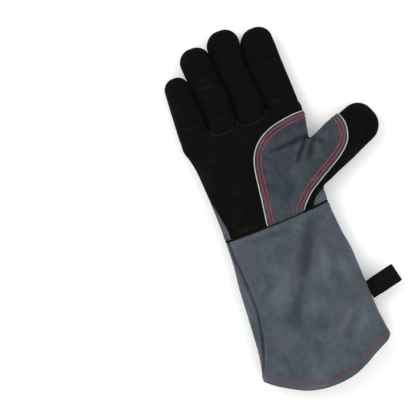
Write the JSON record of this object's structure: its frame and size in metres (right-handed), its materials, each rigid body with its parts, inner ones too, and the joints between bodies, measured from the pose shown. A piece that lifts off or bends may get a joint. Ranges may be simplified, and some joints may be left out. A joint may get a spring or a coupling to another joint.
{
  "type": "heat resistant glove",
  "caption": "Right-hand leather gauntlet for handling hot things: five hollow fingers, a sewn patch over the thumb, a flared lined cuff and a hanging loop.",
  "frame": {"origin": "under the middle of the hand, on the flat of the back that the glove lies on", "axes": "+Y from the hem to the fingertips, +X to the thumb side, +Z out of the palm"},
  "size_m": [0.2182, 0.406, 0.0447],
  "materials": {
    "black_leather": "napped split cowhide, dull",
    "grey_leather": "napped split cowhide, mottled blue-grey",
    "cotton_fleece": "brushed cotton fleece",
    "piping": "folded pale leather cord",
    "red_thread": "twisted aramid sewing thread",
    "strap": "black strap, low sheen"
  },
  "bodies": {
    "cuff": {"cuff_front_panel": "grey_leather", "cuff_back_panel": "grey_leather", "cuff_lining": "cotton_fleece", "hem_thread": "red_thread"},
    "hand": {"palm_panel": "black_leather", "back_panel": "grey_leather", "hand_lining": "cotton_fleece", "wrist_welt": "black_leather", "wrist_crease": "grey_leather", "palm_patch": "grey_leather", "palm_piping": "piping", "palm_thread": "red_thread", "ball_piping": "piping", "ball_thread": "red_thread"},
    "thumb": {"thumb_front": "black_leather", "thumb_back": "black_leather", "thumb_root_crease": "black_leather", "thumb_patch": "grey_leather", "thumb_piping": "piping", "thumb_thread": "red_thread", "thumb_lining": "cotton_fleece"},
    "thumb_tip": {"thumb_tip_front": "black_leather", "thumb_tip_back": "black_leather", "thumb_mid_crease": "black_leather"},
    "hanging_loop": {"hanging_loop": "strap"},
    "little": {"little_front": "black_leather", "little_back": "black_leather", "little_knuckle_crease": "black_leather", "little_lining": "cotton_fleece", "little_fourchette_thumb_side": "black_leather"},
    "little_tip": {"little_tip_front": "black_leather", "little_tip_back": "black_leather", "little_mid_crease": "black_leather"},
    "ring": {"ring_front": "black_leather", "ring_back": "black_leather", "ring_knuckle_crease": "black_leather", "ring_lining": "cotton_fleece", "ring_fourchette_little_side": "black_leather", "ring_fourchette_thumb_side": "black_leather"},
    "ring_tip": {"ring_tip_front": "black_leather", "ring_tip_back": "black_leather", "ring_mid_crease": "black_leather"},
    "middle": {"middle_front": "black_leather", "middle_back": "black_leather", "middle_knuckle_crease": "black_leather", "middle_lining": "cotton_fleece", "middle_fourchette_little_side": "black_leather", "middle_fourchette_thumb_side": "black_leather"},
    "middle_tip": {"middle_tip_front": "black_leather", "middle_tip_back": "black_leather", "middle_mid_crease": "black_leather"},
    "index": {"index_front": "black_leather", "index_back": "black_leather", "index_knuckle_crease": "black_leather", "index_lining": "cotton_fleece", "index_fourchette_little_side": "black_leather"},
    "index_tip": {"index_tip_front": "black_leather", "index_tip_back": "black_leather", "index_mid_crease": "black_leather"}
  },
  "joints": [
    {"name": "wrist_flex", "type": "hinge", "parent": "cuff", "child": "hand", "pos_m": [0.002, -0.076, 0.017], "axis": [1, 0, 0], "range_deg": [-25, 40], "deforming": ["wrist_crease"]},
    {"name": "thumb_flex", "type": "hinge", "parent": "hand", "child": "thumb", "pos_m": [0.067, -0.0105, 0.008], "axis": [0.342, -0.9397, 0], "range_deg": [0, 45], "deforming": ["thumb_root_crease", "thumb_lining"]},
    {"name": "thumb_tip_flex", "type": "hinge", "parent": "thumb", "child": "thumb_tip", "pos_m": [0.12056, 0.00899, 0.008], "axis": [0.342, -0.9397, 0], "range_deg": [0, 45], "deforming": ["thumb_mid_crease"]},
    {"name": "little_knuckle_flex", "type": "hinge", "parent": "hand", "child": "little", "pos_m": [-0.05, 0.062, 0.007], "axis": [1, 0, 0], "range_deg": [0, 60], "deforming": ["little_knuckle_crease", "little_lining"]},
    {"name": "little_tip_flex", "type": "hinge", "parent": "little", "child": "little_tip", "pos_m": [-0.051, 0.09416, 0.007], "axis": [1, 0, 0], "range_deg": [0, 70], "deforming": ["little_mid_crease"]},
    {"name": "ring_knuckle_flex", "type": "hinge", "parent": "hand", "child": "ring", "pos_m": [-0.01575, 0.062, 0.007], "axis": [1, 0, 0], "range_deg": [0, 60], "deforming": ["ring_knuckle_crease", "ring_lining"]},
    {"name": "ring_tip_flex", "type": "hinge", "parent": "ring", "child": "ring_tip", "pos_m": [-0.01815, 0.10544, 0.007], "axis": [1, 0, 0], "range_deg": [0, 70], "deforming": ["ring_mid_crease"]},
    {"name": "middle_knuckle_flex", "type": "hinge", "parent": "hand", "child": "middle", "pos_m": [0.01775, 0.062, 0.007], "axis": [1, 0, 0], "range_deg": [0, 60], "deforming": ["middle_knuckle_crease", "middle_lining"]},
    {"name": "middle_tip_flex", "type": "hinge", "parent": "middle", "child": "middle_tip", "pos_m": [0.01615, 0.10904, 0.007], "axis": [1, 0, 0], "range_deg": [0, 70], "deforming": ["middle_mid_crease"]},
    {"name": "index_knuckle_flex", "type": "hinge", "parent": "hand", "child": "index", "pos_m": [0.0535, 0.062, 0.007], "axis": [1, 0, 0], "range_deg": [0, 60], "deforming": ["index_knuckle_crease", "index_lining"]},
    {"name": "index_tip_flex", "type": "hinge", "parent": "index", "child": "index_tip", "pos_m": [0.052, 0.10448, 0.007], "axis": [1, 0, 0], "range_deg": [0, 70], "deforming": ["index_mid_crease"]},
    {"name": "loop_swing", "type": "hinge", "parent": "cuff", "child": "hanging_loop", "pos_m": [0.0758, -0.1625, 0.017], "axis": [-0.225, 0.9744, 0], "range_deg": [-60, 60]}
  ]
}
